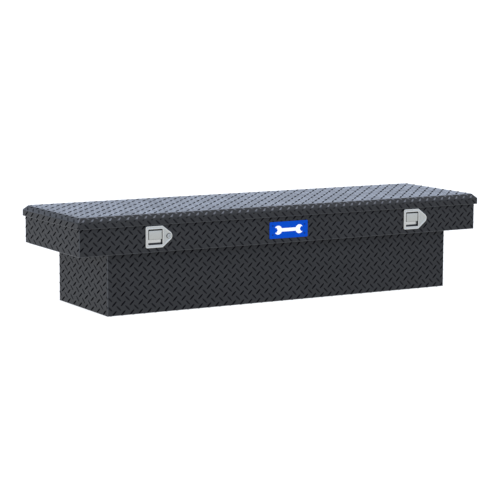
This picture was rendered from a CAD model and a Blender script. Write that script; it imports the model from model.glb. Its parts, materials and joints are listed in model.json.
import bpy
import bmesh
import json
import math
from mathutils import Matrix, Vector


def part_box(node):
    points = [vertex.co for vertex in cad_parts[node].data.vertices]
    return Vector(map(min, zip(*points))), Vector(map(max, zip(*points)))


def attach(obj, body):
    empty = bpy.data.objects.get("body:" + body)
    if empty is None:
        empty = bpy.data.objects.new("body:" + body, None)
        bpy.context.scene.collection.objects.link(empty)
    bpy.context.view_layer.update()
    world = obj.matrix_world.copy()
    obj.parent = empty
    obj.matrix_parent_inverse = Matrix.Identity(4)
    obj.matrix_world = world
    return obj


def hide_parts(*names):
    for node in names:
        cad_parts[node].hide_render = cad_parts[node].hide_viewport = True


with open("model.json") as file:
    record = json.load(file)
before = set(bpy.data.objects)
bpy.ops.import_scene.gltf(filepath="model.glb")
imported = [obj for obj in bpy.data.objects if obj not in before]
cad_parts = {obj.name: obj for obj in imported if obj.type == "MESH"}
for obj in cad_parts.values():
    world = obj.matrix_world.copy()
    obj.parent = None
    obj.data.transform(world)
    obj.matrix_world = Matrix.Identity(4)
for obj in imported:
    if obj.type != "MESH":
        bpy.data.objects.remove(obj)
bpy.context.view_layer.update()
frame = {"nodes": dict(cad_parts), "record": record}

MM = 0.001
RAISE = 1.0 * MM          # height of the tread lozenges above the sheet
SHEET = 1.5 * MM          # sheet under them
BEND = 2.6 * MM           # setback of a folded edge
RIM = 1.0 * MM            # rounding of a cut edge
FLANGE = 25.0 * MM        # inward lip round the mouth
NARROW = 9.0 * MM         # outer faces narrower than this stay plain
FOLD_ANGLE = 0.3          # outer faces that meet at more than this are folded, in radians
CUT_ANGLE = 1.2           # the same for an outer face and the sheet's cut edge
PLAIN, OUTER, EDGE = 0, 1, 2     # face marks: plain, outer tread panel, rounded cut edge
BASE_SLOT, RISE_SLOT, FALL_SLOT, EDGE_SLOT, LIT_SLOT, TOP_SLOT, LOW_SLOT = 0, 1, 2, 3, 4, 5, 6

# ------------------------------------------------------------------ shader helpers


def new_material(name, color, roughness, metallic=0.0, specular=0.5):
    mat = bpy.data.materials.new(name)
    mat.use_nodes = True
    shader = mat.node_tree.nodes["Principled BSDF"]
    shader.inputs["Base Color"].default_value = (*color, 1.0)
    shader.inputs["Roughness"].default_value = roughness
    shader.inputs["Metallic"].default_value = metallic
    shader.inputs["Specular IOR Level"].default_value = specular
    return mat, mat.node_tree.nodes, mat.node_tree.links, shader


def noise(nodes, links, scale, detail=3.0, stretch=(1, 1, 1)):
    """Noise in object coordinates, scale in features per metre."""
    coords = nodes.new("ShaderNodeTexCoord")
    mapping = nodes.new("ShaderNodeMapping")
    mapping.inputs["Scale"].default_value = stretch
    texture = nodes.new("ShaderNodeTexNoise")
    texture.inputs["Scale"].default_value = scale
    texture.inputs["Detail"].default_value = detail
    links.new(coords.outputs["Object"], mapping.inputs["Vector"])
    links.new(mapping.outputs["Vector"], texture.inputs["Vector"])
    return texture


def ramp(nodes, links, source, low, high):
    """Maps a 0..1 factor to the range low..high."""
    remap = nodes.new("ShaderNodeMapRange")
    remap.inputs["From Min"].default_value = 0.3
    remap.inputs["From Max"].default_value = 0.7
    remap.inputs["To Min"].default_value = low
    remap.inputs["To Max"].default_value = high
    links.new(source, remap.inputs["Value"])
    return remap.outputs["Result"]


def bump(nodes, links, shader, source, strength, distance):
    node = nodes.new("ShaderNodeBump")
    node.inputs["Strength"].default_value = strength
    node.inputs["Distance"].default_value = distance
    links.new(source, node.inputs["Height"])
    links.new(node.outputs["Normal"], shader.inputs["Normal"])


def tint(nodes, links, shader, source, dark, light):
    """Base colour that drifts between two shades."""
    mix = nodes.new("ShaderNodeMix")
    mix.data_type = "RGBA"
    mix.inputs["A"].default_value = (*dark, 1.0)
    mix.inputs["B"].default_value = (*light, 1.0)
    links.new(source, mix.inputs["Factor"])
    links.new(mix.outputs["Result"], shader.inputs["Base Color"])


def powder_coat(name, dark, light, rough, specular, patches=14):
    """Satin powder coat: fine orange peel, faint drift of shade and gloss."""
    mat, nodes, links, shader = new_material(name, light, rough, specular=specular)
    peel = noise(nodes, links, 700, 2.0)
    drift = noise(nodes, links, patches, 4.0)
    tint(nodes, links, shader, drift.outputs["Fac"], dark, light)
    gloss = ramp(nodes, links, drift.outputs["Fac"], rough - 0.04, rough + 0.05)
    links.new(gloss, shader.inputs["Roughness"])
    bump(nodes, links, shader, peel.outputs["Fac"], 0.12, 0.0002)
    return mat


def brushed(name, color, rough, stretch):
    """Brushed metal: fine lines drawn out along one direction."""
    dark = tuple(0.86 * c for c in color)
    mat, nodes, links, shader = new_material(name, color, rough, metallic=1.0)
    lines = noise(nodes, links, 900, 4.0, stretch)
    tint(nodes, links, shader, lines.outputs["Fac"], dark, color)
    gloss = ramp(nodes, links, lines.outputs["Fac"], rough - 0.06, rough + 0.08)
    links.new(gloss, shader.inputs["Roughness"])
    bump(nodes, links, shader, lines.outputs["Fac"], 0.1, 0.0001)
    return mat


def grained(name, dark, light, rough, scale, metallic=0.0, specular=0.5):
    """Plain surface with a fine grain, for rubber, foam, cast and plated pieces."""
    mat, nodes, links, shader = new_material(name, light, rough, metallic, specular)
    grain = noise(nodes, links, scale, 5.0)
    tint(nodes, links, shader, grain.outputs["Fac"], dark, light)
    gloss = ramp(nodes, links, grain.outputs["Fac"], rough - 0.05, rough + 0.06)
    links.new(gloss, shader.inputs["Roughness"])
    bump(nodes, links, shader, grain.outputs["Fac"], 0.15, 0.0002)
    return mat


COAT = powder_coat("coat_base", (0.0257, 0.0258, 0.0260), (0.0318, 0.0322, 0.0324), 0.28, 0.058)
COAT_TOP = powder_coat("coat_top", (0.0205, 0.0210, 0.0220), (0.0265, 0.0272, 0.0282), 0.28, 0.105)
COAT_LOW = powder_coat("coat_low", (0.0040, 0.0040, 0.0045), (0.0070, 0.0070, 0.0080), 0.28, 0.105)
COAT_RISE = powder_coat("coat_rise", (0.003, 0.003, 0.004), (0.005, 0.005, 0.006), 0.55, 0.0)
COAT_FALL = powder_coat("coat_fall", (0.006, 0.006, 0.007), (0.010, 0.010, 0.011), 0.5, 0.03)
COAT_LIT = powder_coat("coat_lit", (0.015, 0.016, 0.020), (0.140, 0.142, 0.155), 0.3, 0.5, 60)
COAT_EDGE = powder_coat("coat_edge", (0.040, 0.042, 0.046), (0.060, 0.062, 0.068), 0.3, 0.5)
COAT_SMOOTH = powder_coat("coat_smooth", (0.010, 0.010, 0.012), (0.016, 0.016, 0.018), 0.34, 0.4)
STAINLESS = brushed("stainless", (0.410, 0.418, 0.392), 0.32, (1.0, 1.0, 14.0))
STAINLESS_RIM = brushed("stainless_rim", (0.510, 0.505, 0.470), 0.26, (1.0, 1.0, 14.0))
STAINLESS_DIM = grained("stainless_dim", (0.012, 0.012, 0.013), (0.020, 0.020, 0.021), 0.6, 300)
ZINC = grained("zinc", (0.42, 0.42, 0.40), (0.6, 0.6, 0.57), 0.4, 300, metallic=1.0)
CHROME = brushed("chrome", (0.82, 0.82, 0.82), 0.14, (1.0, 8.0, 1.0))
HINGE = brushed("hinge_steel", (0.28, 0.28, 0.28), 0.36, (0.1, 1.0, 6.0))
LOCK = brushed("lock_steel", (0.40, 0.41, 0.39), 0.3, (1.0, 8.0, 1.0))
ALUMINIUM = grained("rivet_aluminium", (0.62, 0.62, 0.62), (0.78, 0.78, 0.78), 0.35, 400, 1.0)
RUBBER = grained("rubber", (0.010, 0.010, 0.010), (0.022, 0.022, 0.022), 0.75, 500)
FOAM = grained("foam", (0.55, 0.50, 0.38), (0.75, 0.70, 0.56), 0.9, 350)
TUBE = powder_coat("strut_tube", (0.008, 0.008, 0.008), (0.015, 0.015, 0.015), 0.25, 0.5)
BLUE = grained("badge_blue", (0.001, 0.052, 0.375), (0.002, 0.060, 0.435), 0.4, 60, specular=0.02)
RIVET_BLUE = grained(
    "badge_rivet_blue", (0.001, 0.02, 0.16), (0.002, 0.03, 0.20), 0.4, 200, specular=0.1
)
WHITE = grained("badge_white", (0.80, 0.80, 0.80), (0.90, 0.90, 0.90), 0.35, 80)

SLOT_MATERIALS = {
    "tread_black": COAT_SMOOTH,
    "pan_black": COAT_SMOOTH,
    "tray_black": COAT_SMOOTH,
    "foam": FOAM,
    "rubber": RUBBER,
    "stainless": STAINLESS,
    "zinc_steel": ZINC,
    "hinge_steel": HINGE,
    "rivet_aluminium": ALUMINIUM,
    "strut_black": TUBE,
    "bracket_black": COAT_SMOOTH,
    "chrome_rod": CHROME,
    "lock_chrome": LOCK,
    "badge_blue": BLUE,
    "badge_white": WHITE,
}

# ------------------------------------------------------------------ tread pattern

TIP = 0.265       # half length of a lozenge, in pitches along each axis
TIP_LONG = 0.33   # the same on level faces
SPARE = 0.035     # how far a lozenge's cell reaches past its two tips
WIDE = 0.062      # half width across it
RING = 12         # points round a lozenge


def lozenge_cell(mirror, tip):
    """One cell of the pattern, in pitches: its points (u, v, height) and its faces.

    The cell is a diamond whose sides bow out at the tips of its own lozenge and in
    where the tips of its neighbours come, so that cells of both kinds tile a sheet.
    """
    bulge = tip + SPARE
    dent = 0.5 - bulge
    rim = [(0.5, 0), (bulge, bulge), (0, 0.5), (-dent, dent)]
    rim += [(-u, -v) for u, v in rim]
    points = [(u, v, 0.0) for u, v in rim]
    half = math.sqrt(0.5)
    for along, across, height in ((1.0, 1.0, 0.0), (0.9, 0.72, 0.72), (0.62, 0.3, 1.0)):
        for i in range(RING):
            angle = 2 * math.pi * i / RING
            a = tip / half * along * math.cos(angle)
            b = WIDE / half * across * math.sin(angle)
            points.append(((a - b) * half, (a + b) * half, height))
    faces = []
    # skirt between the cell's rim and the lozenge's foot, matched by direction
    direction = [math.atan2(v, u) % (2 * math.pi) for u, v, _ in points[: 8 + RING]]
    outer = sorted(range(8), key=lambda k: direction[k])
    inner = sorted(range(8, 8 + RING), key=lambda k: direction[k])
    i = j = 0
    while i < 8 or j < RING:
        a, b = outer[i % 8], inner[j % RING]
        next_a, next_b = outer[(i + 1) % 8], inner[(j + 1) % RING]
        reach_a = direction[next_a] + 2 * math.pi * (i + 1 >= 8)
        reach_b = direction[next_b] + 2 * math.pi * (j + 1 >= RING)
        if j >= RING or (i < 8 and reach_a < reach_b):
            faces.append(((a, next_a, b), False))
            i += 1
        else:
            faces.append(((a, next_b, b), False))
            j += 1
    for ring in (8, 8 + RING):
        for k in range(RING):
            n = (k + 1) % RING
            faces.append(((ring + k, ring + n, ring + RING + n, ring + RING + k), True))
    faces.append((tuple(range(8 + 2 * RING, 8 + 3 * RING)), True))
    if mirror:
        points = [(-u, v, h) for u, v, h in points]
        faces = [(tuple(reversed(face)), raised) for face, raised in faces]
    return points, faces


CELLS = {
    (mirror, tip): lozenge_cell(mirror, tip)
    for mirror in (False, True) for tip in (TIP, TIP_LONG)
}


WALL_SLOTS = (BASE_SLOT, RISE_SLOT, FALL_SLOT)
BEVEL_SLOTS = (BASE_SLOT, LIT_SLOT, LIT_SLOT)
TOP_SLOTS = (TOP_SLOT, RISE_SLOT, LOW_SLOT)


class Pattern:
    """Pitch and start of the tread on a flat face, in mm along it and up it."""

    def __init__(self, pitch, start=(0.0, 0.0), slots=WALL_SLOTS, raised=(1.0, 1.0), tip=TIP):
        self.pitch = (pitch[0] * MM, pitch[1] * MM)
        self.start = (start[0] * MM, start[1] * MM)
        self.slots = slots             # of the sheet, the rising and the falling lozenges
        self.raised = raised           # height of the rising and the falling lozenges
        self.tip = tip


def face_axes(normal):
    """Directions along and up a face, as someone who looks straight at it sees them."""
    if abs(normal.z) > 0.9:
        return Vector((1, 0, 0)), Vector((0, 1, 0))
    along = Vector((0, 0, 1)).cross(normal).normalized()
    return along, normal.cross(along)


def stamp(corners, normal, pattern, windows=()):
    """Tread mesh that fills a convex flat face, less its rectangular windows."""
    origin = corners[0]
    along, up = face_axes(normal)
    flip = along.cross(up).dot(normal) < 0
    us = [along.dot(c) for c in corners]
    vs = [up.dot(c) for c in corners]
    depth = normal.dot(origin)
    pu, pv = pattern.pitch
    first, last = [], []
    for reach, start, pitch in ((us, pattern.start[0], pu), (vs, pattern.start[1], pv)):
        first.append(math.floor((min(reach) - start) / pitch) - 1)
        last.append(math.ceil((max(reach) - start) / pitch) + 1)
    verts, faces, marks = [], [], []
    for mirror in (False, True):
        points, cell_faces = CELLS[mirror, pattern.tip]
        family = pattern.slots[2 if mirror else 1]
        height = pattern.raised[1 if mirror else 0] * RAISE
        shift = 0.5 if mirror else 0.0
        for i in range(first[0], last[0] + 1):
            for j in range(first[1], last[1] + 1):
                cu = pattern.start[0] + (i + shift) * pu
                cv = pattern.start[1] + (j + shift) * pv
                base = len(verts)
                for u, v, h in points:
                    flat = along * (cu + u * pu) + up * (cv + v * pv)
                    verts.append(flat + normal * (depth + h * height))
                for face, raised in cell_faces:
                    loop = [base + k for k in face]
                    faces.append(loop[::-1] if flip else loop)
                    marks.append(family if raised else pattern.slots[0])
    mesh = bpy.data.meshes.new("stamp")
    mesh.from_pydata(verts, [], faces)
    mesh.polygons.foreach_set("material_index", marks)
    bm = bmesh.new()
    bm.from_mesh(mesh)
    bpy.data.meshes.remove(mesh)
    bmesh.ops.remove_doubles(bm, verts=bm.verts, dist=1e-6)
    middle = sum(corners, Vector()) / len(corners)
    for a, b in zip(corners, corners[1:] + corners[:1]):
        side = (b - a).cross(normal).normalized()
        if side.dot(middle - a) > 0:
            side = -side
        geom = bm.verts[:] + bm.edges[:] + bm.faces[:]
        bmesh.ops.bisect_plane(bm, geom=geom, dist=1e-7, plane_co=a, plane_no=side, clear_outer=True)
    for low_u, low_v, high_u, high_v in windows:
        cut_window(bm, along, up, (low_u, low_v), (high_u, high_v))
    return bm


def cut_window(bm, along, up, low, high):
    """Removes a rectangle from a stamped face."""
    margin = 0.03

    def near(face):
        u, v = along.dot(face.calc_center_median()), up.dot(face.calc_center_median())
        return low[0] - margin < u < high[0] + margin and low[1] - margin < v < high[1] + margin

    for axis, value in ((along, low[0]), (along, high[0]), (up, low[1]), (up, high[1])):
        faces = [f for f in bm.faces if near(f)]
        edges = list({e for f in faces for e in f.edges})
        verts = list({v for f in faces for v in f.verts})
        bmesh.ops.bisect_plane(
            bm, geom=verts + edges + faces, dist=1e-7, plane_co=axis * value, plane_no=axis
        )
    inside = []
    for face in bm.faces:
        centre = face.calc_center_median()
        u, v = along.dot(centre), up.dot(centre)
        if low[0] < u < high[0] and low[1] < v < high[1]:
            inside.append(face)
    bmesh.ops.delete(bm, geom=inside, context="FACES")


def cut_inside(bm, windows):
    """Opens the windows in the plain inner face of the front sheet as well."""
    for low_u, low_v, high_u, high_v in windows:
        for axis, value in (
            (Vector((1, 0, 0)), low_u), (Vector((1, 0, 0)), high_u),
            (Vector((0, 0, 1)), low_v), (Vector((0, 0, 1)), high_v),
        ):
            faces = [f for f in bm.faces if abs(f.normal.y) > 0.9]
            edges = list({e for f in faces for e in f.edges})
            verts = list({v for f in faces for v in f.verts})
            bmesh.ops.bisect_plane(
                bm, geom=verts + edges + faces, dist=1e-7, plane_co=axis * value, plane_no=axis
            )
        inside = []
        for face in bm.faces:
            centre = face.calc_center_median()
            if low_u < centre.x < high_u and low_v < centre.z < high_v:
                inside.append(face)
        bmesh.ops.delete(bm, geom=inside, context="FACES")


def tread_object(name, bm, pattern_of, body, nodes, windows=()):
    """Turns each marked flat face of a plain sheet into tread, and makes the piece."""
    bm.normal_update()
    mark = bm.faces.layers.int["mark"]
    for face in bm.faces:
        normal = face.normal
        upright_corner = min(abs(normal.x), abs(normal.y)) > 0.3
        low_fold = -0.97 < normal.z < -0.25
        high_fold = 0.75 < normal.z < 0.97
        if face[mark] != PLAIN and low_fold or face[mark] == EDGE and upright_corner:
            face.material_index = EDGE_SLOT
        elif face[mark] == OUTER and high_fold:
            face.material_index = LIT_SLOT
    panels = []
    for face in bm.faces:
        short = min((e.calc_length() for e in face.edges), default=0)
        if face[mark] == OUTER and short > NARROW:
            panels.append(face)
    stamped = []
    for face in panels:
        corners = [v.co.copy() for v in face.verts]
        normal = face.normal.copy()
        holes = windows if normal.y < -0.9 else ()
        stamped.append(stamp(corners, normal, pattern_of(normal), holes))
    bmesh.ops.delete(bm, geom=panels, context="FACES_ONLY")
    if windows:
        cut_inside(bm, windows)
    mesh = bpy.data.meshes.new(name)
    for part in stamped:
        part.to_mesh(mesh)
        part.free()
        bm.from_mesh(mesh)
        mesh.clear_geometry()
    bm.to_mesh(mesh)
    bm.free()
    obj = bpy.data.objects.new(name, mesh)
    bpy.context.scene.collection.objects.link(obj)
    for mat in (COAT, COAT_RISE, COAT_FALL, COAT_EDGE, COAT_LIT, COAT_TOP, COAT_LOW):
        mesh.materials.append(mat)
    mesh.shade_smooth()
    mesh.set_sharp_from_angle(angle=math.radians(25))
    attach(obj, body)
    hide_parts(*nodes)
    return obj


# ------------------------------------------------------------------ plain sheets


def sheet_mesh():
    bm = bmesh.new()
    bm.faces.layers.int.new("mark")
    return bm


def add_face(bm, points, mark):
    face = bm.faces.new([bm.verts.new(p) for p in points])
    face[bm.faces.layers.int["mark"]] = mark


def swept_sheet(outline, axis, low, high):
    """A folded sheet: an open outline of its outer face, swept along X or Y.

    outline lists (across, z) points of the outer face, with the sheet on its left.
    """
    bm = sheet_mesh()
    inner = inset(outline, SHEET)

    def place(point, station):
        return (station, point[0], point[1]) if axis == "X" else (point[0], station, point[1])

    for side, mark in ((outline, OUTER), (inner[::-1], PLAIN)):
        for a, b in zip(side, side[1:]):
            add_face(bm, [place(a, low), place(b, low), place(b, high), place(a, high)], mark)
    for a, b in ((outline[0], inner[0]), (inner[-1], outline[-1])):
        add_face(bm, [place(b, low), place(a, low), place(a, high), place(b, high)], PLAIN)
    for station in (low, high):
        for k in range(len(outline) - 1):
            quad = (outline[k], outline[k + 1], inner[k + 1], inner[k])
            add_face(bm, [place(p, station) for p in quad], PLAIN)
    bmesh.ops.remove_doubles(bm, verts=bm.verts, dist=1e-7)
    bmesh.ops.recalc_face_normals(bm, faces=bm.faces)
    return bm


def inset(outline, amount):
    """The open outline moved to its left by amount, with mitred corners."""
    moved = []
    count = len(outline)
    for k, point in enumerate(outline):
        before = outline[max(k - 1, 0)]
        after = outline[min(k + 1, count - 1)]
        dirs = []
        for a, b in ((before, point), (point, after)):
            step = Vector((b[0] - a[0], b[1] - a[1]))
            if step.length > 0:
                dirs.append(step.normalized())
        lefts = [Vector((-d.y, d.x)) for d in dirs]
        if len(lefts) == 1:
            shift = lefts[0] * amount
        else:
            total = lefts[0] + lefts[1]
            shift = total * (2 * amount / total.length_squared)
        moved.append((point[0] + shift.x, point[1] + shift.y))
    return moved


def round_folds(bm, width=BEND, segments=4):
    """Rounds the folds between outer faces, then the sheet's cut edges."""
    mark = bm.faces.layers.int["mark"]
    folds = []
    for edge in bm.edges:
        if len(edge.link_faces) == 2 and all(f[mark] == OUTER for f in edge.link_faces):
            if edge.calc_face_angle() > FOLD_ANGLE:
                folds.append(edge)
    bmesh.ops.bevel(
        bm, geom=folds, offset=width, segments=segments, profile=0.5,
        affect="EDGES", offset_type="OFFSET", clamp_overlap=True,
    )
    rims = []
    for edge in bm.edges:
        if len(edge.link_faces) == 2:
            marks = {f[mark] for f in edge.link_faces}
            if marks == {OUTER, PLAIN} and edge.calc_face_angle() > CUT_ANGLE:
                rims.append(edge)
    rounded = bmesh.ops.bevel(
        bm, geom=rims, offset=RIM, segments=2, profile=0.5,
        affect="EDGES", offset_type="OFFSET", clamp_overlap=True,
    )
    for face in rounded["faces"]:
        face[mark] = EDGE


# ------------------------------------------------------------------ tub and saddle

FLAT = Pattern((45.6, 52.0), (40.8, 4.3), TOP_SLOTS, (0.9, 0.35), TIP_LONG)
PLATE_LEFT = 40.2         # from the middle of a latch's recess to its plate's left edge, in mm
WINDOW_Z = 287.5 * MM     # middle of the latch windows in the front sheet
WINDOW_HALF = (31.0 * MM, 30.5 * MM)


def patterns(walls, ends, bevels=FLAT, end_bevels=FLAT):
    """Chooses the pattern of each face of a piece by the way the face looks."""

    def choose(normal):
        if abs(normal.z) > 0.9:
            return FLAT
        if abs(normal.y) > 0.6:
            return walls if abs(normal.z) < 0.2 else bevels
        return ends if abs(normal.z) < 0.2 else end_bevels

    return choose


TUB_TREAD = patterns(
    Pattern((35.85, 34.9), (28.3, 10.9)),
    Pattern((52.0, 35.0), (28.2, 13.2)),
)
SADDLE_TREAD = patterns(
    Pattern((35.85, 34.7), (28.3, 14.4)),
    Pattern((52.0, 34.3), (24.9, 18.5)),
)
LID_TREAD = patterns(
    Pattern((35.85, 34.0), (26.1, 19.8)),
    Pattern((52.0, 34.0), (48.7, 5.0)),
    Pattern((35.85, 35.0), (31.3, 94.9), BEVEL_SLOTS),
    Pattern((52.0, 34.0), (24.9, 1.2)),
)


def node_limits(node):
    low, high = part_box(node)
    return Vector(low), Vector(high)


low, high = node_limits("lower_tub_shell")
bm = swept_sheet(
    [
        (high.y - RAISE, high.z),
        (high.y - RAISE, low.z + RAISE),
        (low.y + RAISE, low.z + RAISE),
        (low.y + RAISE, high.z),
    ][::-1],
    "X", low.x, high.x,
)
round_folds(bm)
tread_object("lower_tub_skin", bm, TUB_TREAD, "tub", ["lower_tub_shell"])

low, high = node_limits("saddle_front")
ledge_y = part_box("lower_tub_shell")[0][1] + RAISE + SHEET
bm = swept_sheet(
    [
        (low.y + FLANGE, high.z),
        (low.y + RAISE, high.z),
        (low.y + RAISE, low.z + RAISE),
        (ledge_y, low.z + RAISE),
    ],
    "X", low.x, high.x,
)
round_folds(bm)
LATCH_WINDOWS = []
for side in ("left", "right"):
    x = node_limits(f"latch_dish_{side}")[0].x + PLATE_LEFT * MM
    LATCH_WINDOWS.append(
        (x - WINDOW_HALF[0], WINDOW_Z - WINDOW_HALF[1], x + WINDOW_HALF[0], WINDOW_Z + WINDOW_HALF[1])
    )
tread_object("saddle_front_skin", bm, SADDLE_TREAD, "tub", ["saddle_front"], LATCH_WINDOWS)

low, high = node_limits("saddle_back")
ledge_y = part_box("lower_tub_shell")[1][1] - RAISE - SHEET
bm = swept_sheet(
    [
        (ledge_y, low.z + RAISE),
        (high.y - RAISE, low.z + RAISE),
        (high.y - RAISE, high.z),
        (high.y - FLANGE, high.z),
    ],
    "X", low.x, high.x,
)
round_folds(bm)
tread_object("saddle_back_skin", bm, SADDLE_TREAD, "tub", ["saddle_back"])

for side, sign in (("left", -1), ("right", 1)):
    low, high = node_limits(f"lower_tub_end_{side}")
    outer_x = low.x + RAISE if sign < 0 else high.x - RAISE
    inner_x = outer_x - sign * SHEET
    bm = sheet_mesh()
    corners = [(low.y + RAISE, low.z + RAISE), (high.y - RAISE, low.z + RAISE),
               (high.y - RAISE, high.z), (low.y + RAISE, high.z)]
    add_face(bm, [(outer_x, y, z) for y, z in corners], OUTER)
    add_face(bm, [(inner_x, y, z) for y, z in corners], PLAIN)
    for a, b in zip(corners, corners[1:] + corners[:1]):
        add_face(bm, [(outer_x, *a), (outer_x, *b), (inner_x, *b), (inner_x, *a)], PLAIN)
    bmesh.ops.remove_doubles(bm, verts=bm.verts, dist=1e-7)
    bmesh.ops.recalc_face_normals(bm, faces=bm.faces)
    round_folds(bm)
    tread_object(f"lower_end_skin_{side}", bm, TUB_TREAD, "tub", [f"lower_tub_end_{side}"])

    low, high = node_limits(f"saddle_end_{side}")
    outer_x = low.x + RAISE if sign < 0 else high.x - RAISE
    outline = [
        (outer_x - sign * (FLANGE - RAISE), high.z),
        (outer_x, high.z),
        (outer_x, low.z + RAISE),
    ]
    bm = swept_sheet(outline if sign < 0 else outline[::-1], "Y", low.y + RAISE, high.y - RAISE)
    round_folds(bm)
    tread_object(f"saddle_end_skin_{side}", bm, SADDLE_TREAD, "tub", [f"saddle_end_{side}"])

# ------------------------------------------------------------------ lid

BEVEL_RISE = 17.5 * MM    # height of the lid's bevel
OUTER_DROP = 0.4 * MM     # how far the bevel's outer fold lies below that
INNER_DROP = 0.6 * MM     # and its inner fold below the outer one
BEVEL_X = 16.4 * MM       # its run at the two ends
BEVEL_Y = 18.7 * MM       # its run at the front and the back
HEM_FRONT = 5.5 * MM
HEM_END = 3.0 * MM
HEMMED = (0, 1, 3)        # front and the two ends; the back skirt has no hem


def lid_ring(half, z, drawn_in=(0.0, 0.0), front=None):
    """Four corners of the lid at one height, drawn in from its half sizes."""
    x, y = half[0] - drawn_in[0], half[1] - drawn_in[1]
    near = -y if front is None else -front
    return [(-x, near, z), (x, near, z), (x, y, z), (-x, y, z)]


def ring_faces(bm, low, high, mark, sides=(0, 1, 2, 3)):
    for k in sides:
        n = (k + 1) % 4
        add_face(bm, [low[k], low[n], high[n], high[k]], mark)


low, high = node_limits("lid_shell")
end_x = node_limits("lid_end_right")[1].x
low_z, top_z = low.z, high.z - RAISE
bevel_z = high.z - BEVEL_RISE - OUTER_DROP
half = (end_x - RAISE, high.y - RAISE)
half_in = (half[0] - SHEET, half[1] - SHEET)
hem_in = (HEM_END - SHEET, 0.0)
hem_front = half[1] - HEM_FRONT
outer = [
    lid_ring(half_in, low_z, hem_in, hem_front),
    lid_ring(half, low_z),
    lid_ring(half, bevel_z),
    lid_ring(half, top_z, (BEVEL_X, BEVEL_Y)),
]
inner = [
    lid_ring(half_in, low_z + SHEET, hem_in, hem_front),
    lid_ring(half_in, low_z + SHEET),
    lid_ring(half_in, bevel_z - INNER_DROP),
    lid_ring(half_in, top_z - SHEET, (BEVEL_X, BEVEL_Y)),
]
bm = sheet_mesh()
ring_faces(bm, outer[0], outer[1], OUTER, HEMMED)
ring_faces(bm, outer[0], outer[1], PLAIN, (2,))
ring_faces(bm, outer[1], outer[2], OUTER)
ring_faces(bm, outer[2], outer[3], OUTER)
ring_faces(bm, outer[0], inner[0], PLAIN, HEMMED)
ring_faces(bm, inner[0], inner[1], PLAIN, HEMMED)
ring_faces(bm, inner[1], inner[2], PLAIN, HEMMED)
ring_faces(bm, inner[2], inner[3], PLAIN)
back_wall = [outer[0][2], outer[0][3], inner[0][3], inner[1][3], inner[2][3]]
add_face(bm, back_wall + [inner[2][2], inner[1][2], inner[0][2]], PLAIN)
add_face(bm, outer[3], OUTER)
add_face(bm, inner[3], PLAIN)
bmesh.ops.remove_doubles(bm, verts=bm.verts, dist=1e-7)
bmesh.ops.recalc_face_normals(bm, faces=bm.faces)
round_folds(bm, width=2.0 * MM)
tread_object("lid_skin", bm, LID_TREAD, "lid", ["lid_shell", "lid_end_left", "lid_end_right"])

# ------------------------------------------------------------------ hardware


DIM_FACES = {
    "latch_paddle_left": lambda normal: abs(normal.x) > 0.9,
    "latch_paddle_right": lambda normal: abs(normal.x) > 0.9,
    "lock_body": lambda normal: abs(normal.y) < 0.9,
}


def softened(node, body, width, segments=2, sharp=30.0):
    """The CAD piece with its hard edges rounded, as pressed and cast metal has them."""
    source = frame["nodes"][node]
    mesh = source.data.copy()
    mesh.name = f"{node}_soft"
    bm = bmesh.new()
    bm.from_mesh(mesh)
    bmesh.ops.remove_doubles(bm, verts=bm.verts, dist=1e-6)
    bmesh.ops.dissolve_limit(
        bm, angle_limit=math.radians(0.5), verts=bm.verts, edges=bm.edges
    )
    hard = []
    for edge in bm.edges:
        if len(edge.link_faces) == 2 and edge.calc_face_angle() > math.radians(sharp):
            hard.append(edge)
    bmesh.ops.bevel(
        bm, geom=hard, offset=width, segments=segments, profile=0.5,
        affect="EDGES", offset_type="OFFSET", clamp_overlap=True,
    )
    bm.to_mesh(mesh)
    bm.free()
    obj = bpy.data.objects.new(f"{node}_soft", mesh)
    bpy.context.scene.collection.objects.link(obj)
    mesh.shade_smooth()
    mesh.set_sharp_from_angle(angle=math.radians(35))
    slot = next(s["material_slot"] for s in frame["record"]["subparts"] if s["node"] == node)
    mesh.materials.clear()
    mesh.materials.append(SLOT_MATERIALS[slot])
    if node in DIM_FACES:
        mesh.materials.append(STAINLESS_DIM)
        for face in mesh.polygons:
            if DIM_FACES[node](face.normal):
                face.material_index = 1
    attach(obj, body)
    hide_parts(node)
    return obj


# the plate, in mm about the middle of its recess and of its height
PLATE_HALF = 40.5
CORNER_R, SHOULDER_R, NOSE_R = 7.0, 5.0, 18.5
SHOULDER_X, NOSE_X, NOSE_UP = 28.0, 51.5, 0.6
RECESS, RECESS_UP, RECESS_R = (29.3, 28.8), -0.5, 2.5
PLATE_SHEET = 1.6
# pressed bead round the plate: drawn in from the outline, set back from the front
PLATE_BEAD = ((0, 1.6), (0, 0.5), (0.4, -0.3), (1.2, -0.6), (3.6, -0.6), (4.4, -0.3), (4.8, 0))
# bead round the recess and its wall: let out from the recess, set back from the front
RECESS_BEAD = ((4.4, 0), (4.0, -0.3), (3.4, -0.5), (1.0, -0.5), (0.2, -0.1), (0, 0.8))
# foot of the recess's wall: let out from the recess, set forward from the floor
RECESS_FOOT = ((0, -2.0), (-0.7, -0.6), (-2.2, 0))
# back of the recess's wall: let out from the recess, set back from the floor
RECESS_BACK = ((1.5, 0.9), (1.0, 1.5))
RECESS_FLOOR_Y = -229.5
ARC_STEPS = 7
# a dark finish on the recess's wall stands in for the shadow in it
DIM_ABOVE = 279.0 * MM    # behind the paddle, from here up
DIM_BELOW = 265.0 * MM    # and again along its sill
DIM_FROM, DIM_TO = 2.0, 0.5    # from behind the plate's front to past the floor, in mm


def arc(centre, radius, start, end):
    points = []
    for k in range(ARC_STEPS):
        angle = math.radians(start + (end - start) * k / (ARC_STEPS - 1))
        points.append((centre[0] + radius * math.cos(angle), centre[1] + radius * math.sin(angle)))
    return points


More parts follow.
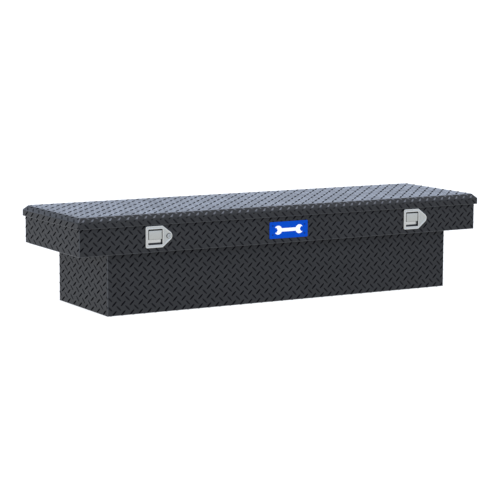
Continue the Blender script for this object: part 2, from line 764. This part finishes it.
def plate_ring(shrink):
    """Latch plate's outline in mm about the recess, drawn in by shrink."""
    shoulder = PLATE_HALF - SHOULDER_R
    rise = NOSE_UP + shoulder
    run = NOSE_X - SHOULDER_X
    turn = math.degrees(math.acos((SHOULDER_R - NOSE_R) / math.hypot(run, rise)))
    low_turn = math.degrees(math.atan2(rise, run)) - turn
    fall = shoulder - NOSE_UP
    turn = math.degrees(math.acos((SHOULDER_R - NOSE_R) / math.hypot(run, fall)))
    high_turn = turn - math.degrees(math.atan2(fall, run))
    corner = PLATE_HALF - CORNER_R
    left = CORNER_R - PLATE_LEFT
    ring = arc((left, -corner), CORNER_R - shrink, 180, 270)
    ring += arc((SHOULDER_X, -shoulder), SHOULDER_R - shrink, -90, low_turn)
    ring += arc((NOSE_X, NOSE_UP), NOSE_R - shrink, low_turn, high_turn)
    ring += arc((SHOULDER_X, shoulder), SHOULDER_R - shrink, high_turn, 90)
    ring += arc((left, corner), CORNER_R - shrink, 90, 180)
    return ring


def recess_ring(grow):
    """Outline of the latch's recess in mm, let out by grow."""
    x, z, radius = RECESS[0] - RECESS_R, RECESS[1] - RECESS_R, RECESS_R + grow
    ring = arc((-x, RECESS_UP - z), radius, 180, 270)
    ring += arc((x, RECESS_UP - z), radius, 270, 360)
    ring += arc((x, RECESS_UP + z), radius, 0, 90)
    ring += arc((-x, RECESS_UP + z), radius, 90, 180)
    return ring


def latch_skin(node):
    """Latch plate with a pressed bead round its edge and round the recess."""
    low, high = node_limits(node)
    centre = (low.x + PLATE_LEFT * MM, (low.z + high.z) / 2)
    front = low.y / MM
    floor = RECESS_FLOOR_Y
    bm = bmesh.new()

    def loop(ring, y):
        return [bm.verts.new((centre[0] + u * MM, y * MM, centre[1] + v * MM)) for u, v in ring]

    def bridge(a, b, slot):
        for k in range(len(a)):
            n = (k + 1) % len(a)
            bm.faces.new((a[k], a[n], b[n], b[k])).material_index = slot

    outer = [loop(plate_ring(shrink), front + y) for shrink, y in PLATE_BEAD]
    inner = [loop(recess_ring(grow), front + y) for grow, y in RECESS_BEAD]
    inner += [loop(recess_ring(grow), floor + y) for grow, y in RECESS_FOOT]
    for rings in (outer, inner):
        for a, b in zip(rings, rings[1:]):
            bridge(a, b, 1)
    edges = []
    for ring in (outer[-1], inner[0]):
        for k in range(len(ring)):
            edges.append(bm.edges.get((ring[k], ring[(k + 1) % len(ring)])))
    bmesh.ops.triangle_fill(bm, use_beauty=True, use_dissolve=False, edges=edges)
    bm.faces.new(inner[-1]).material_index = 1
    shell = [loop(recess_ring(RECESS_BACK[0][0]), front + PLATE_SHEET)]
    shell += [loop(recess_ring(grow), floor + y) for grow, y in RECESS_BACK]
    for a, b in zip(shell, shell[1:]):
        bridge(a, b, 1)
    bm.faces.new(shell[-1]).material_index = 1
    up = Vector((0, 0, 1))
    for level in (DIM_ABOVE, DIM_BELOW):
        geom = bm.verts[:] + bm.edges[:] + bm.faces[:]
        bmesh.ops.bisect_plane(bm, geom=geom, dist=1e-7, plane_co=up * level, plane_no=up)
    bmesh.ops.recalc_face_normals(bm, faces=bm.faces)
    for face in bm.faces:
        spot = face.calc_center_median()
        if front + DIM_FROM < spot.y / MM < floor + DIM_TO:
            jamb = face.normal.x < -0.5
            if face.normal.z > 0.5 or spot.z < DIM_BELOW or jamb != (spot.z > DIM_ABOVE):
                face.material_index = 2
    mesh = bpy.data.meshes.new(f"{node}_skin")
    bm.to_mesh(mesh)
    bm.free()
    obj = bpy.data.objects.new(f"{node}_skin", mesh)
    bpy.context.scene.collection.objects.link(obj)
    mesh.materials.append(STAINLESS)
    mesh.materials.append(STAINLESS_RIM)
    mesh.materials.append(STAINLESS_DIM)
    mesh.shade_smooth()
    mesh.set_sharp_from_angle(angle=math.radians(40))
    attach(obj, "tub")
    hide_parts(node)


for side in ("left", "right"):
    latch_skin(f"latch_dish_{side}")

BODY_OF = {n: b for b, nodes in frame["record"]["behaviour"]["bodies"].items() for n in nodes}
SOFT_EDGES = {
    "latch_paddle_left": 0.5, "latch_paddle_right": 0.5,
    "lock_body": 0.4, "lock_plug": 0.15,
    "badge_plate": 0.3,
}
for node, width in SOFT_EDGES.items():
    softened(node, BODY_OF[node], width * MM)

SLOT_OF = {s["node"]: s["material_slot"] for s in frame["record"]["subparts"]}
for node, obj in frame["nodes"].items():
    material = SLOT_MATERIALS[SLOT_OF[node]]
    obj.data.materials.clear()
    obj.data.materials.append(material)

rivets = frame["nodes"]["badge_rivets"].data
rivets.materials.clear()
rivets.materials.append(RIVET_BLUE)

# ------------------------------------------------------------------ stage and light

floor_mesh = bpy.data.meshes.new("floor")
REACH = 600.0             # the floor runs out to the horizon
floor_mesh.from_pydata(
    [(-REACH, -REACH, 0), (REACH, -REACH, 0), (REACH, REACH, 0), (-REACH, REACH, 0)],
    [], [(0, 1, 2, 3)],
)
floor = bpy.data.objects.new("floor", floor_mesh)
bpy.context.scene.collection.objects.link(floor)
floor_mat, floor_nodes, floor_links, floor_shader = new_material(
    "floor_pale", (0.22, 0.22, 0.22), 0.9, specular=0.0
)
floor_shader.inputs["Emission Color"].default_value = (0.97, 0.98, 1.0, 1.0)
floor_shader.inputs["Emission Strength"].default_value = 0.92
floor_mesh.materials.append(floor_mat)

HORIZON = (1.20, 1.36, 1.70, 1.0)
ZENITH = (1.25, 1.30, 1.42, 1.0)
world = bpy.data.worlds.new("studio")
world.use_nodes = True
world_nodes, world_links = world.node_tree.nodes, world.node_tree.links
sky_coords = world_nodes.new("ShaderNodeTexCoord")
sky_split = world_nodes.new("ShaderNodeSeparateXYZ")
sky_mix = world_nodes.new("ShaderNodeMix")
sky_mix.data_type = "RGBA"
sky_mix.inputs["A"].default_value = HORIZON
sky_mix.inputs["B"].default_value = ZENITH
sky_height = world_nodes.new("ShaderNodeMapRange")
sky_height.inputs["From Min"].default_value = 0.25
sky_height.inputs["From Max"].default_value = 0.85
world_links.new(sky_coords.outputs["Generated"], sky_split.inputs["Vector"])
world_links.new(sky_split.outputs["Z"], sky_height.inputs["Value"])
world_links.new(sky_height.outputs["Result"], sky_mix.inputs["Factor"])
world_links.new(sky_mix.outputs["Result"], world_nodes["Background"].inputs["Color"])
world_nodes["Background"].inputs["Strength"].default_value = 1.0
bpy.context.scene.world = world
bpy.context.scene.view_settings.view_transform = "Standard"


def softbox(name, place, target, size, power, color):
    light = bpy.data.lights.new(name, "AREA")
    light.shape = "RECTANGLE"
    light.size, light.size_y = size
    light.energy = power
    light.color = color
    obj = bpy.data.objects.new(name, light)
    obj.location = place
    obj.rotation_euler = (Vector(target) - Vector(place)).to_track_quat("-Z", "Y").to_euler()
    obj.visible_camera = False
    bpy.context.scene.collection.objects.link(obj)


softbox("key", (-2.5, -3.0, 4.0), (0, 0, 0.2), (2.5, 2.5), 30, (1.0, 1.0, 1.0))

# ------------------------------------------------------------------ camera

YAW = math.radians(30.097)
PITCH = math.radians(7.891)
ROLL = math.radians(0.221)
camera_data = bpy.data.cameras.new("camera")
camera_data.sensor_width = 36.0
camera_data.lens = 133.94
camera_data.clip_end = 100.0
camera = bpy.data.objects.new("camera", camera_data)
camera.location = (-3.6614, -6.2637, 1.1778)
turned = Matrix.Rotation(-YAW, 4, "Z") @ Matrix.Rotation(math.pi / 2 - PITCH, 4, "X")
camera.rotation_euler = (turned @ Matrix.Rotation(ROLL, 4, "Z")).to_euler()
bpy.context.scene.collection.objects.link(camera)
bpy.context.scene.camera = camera
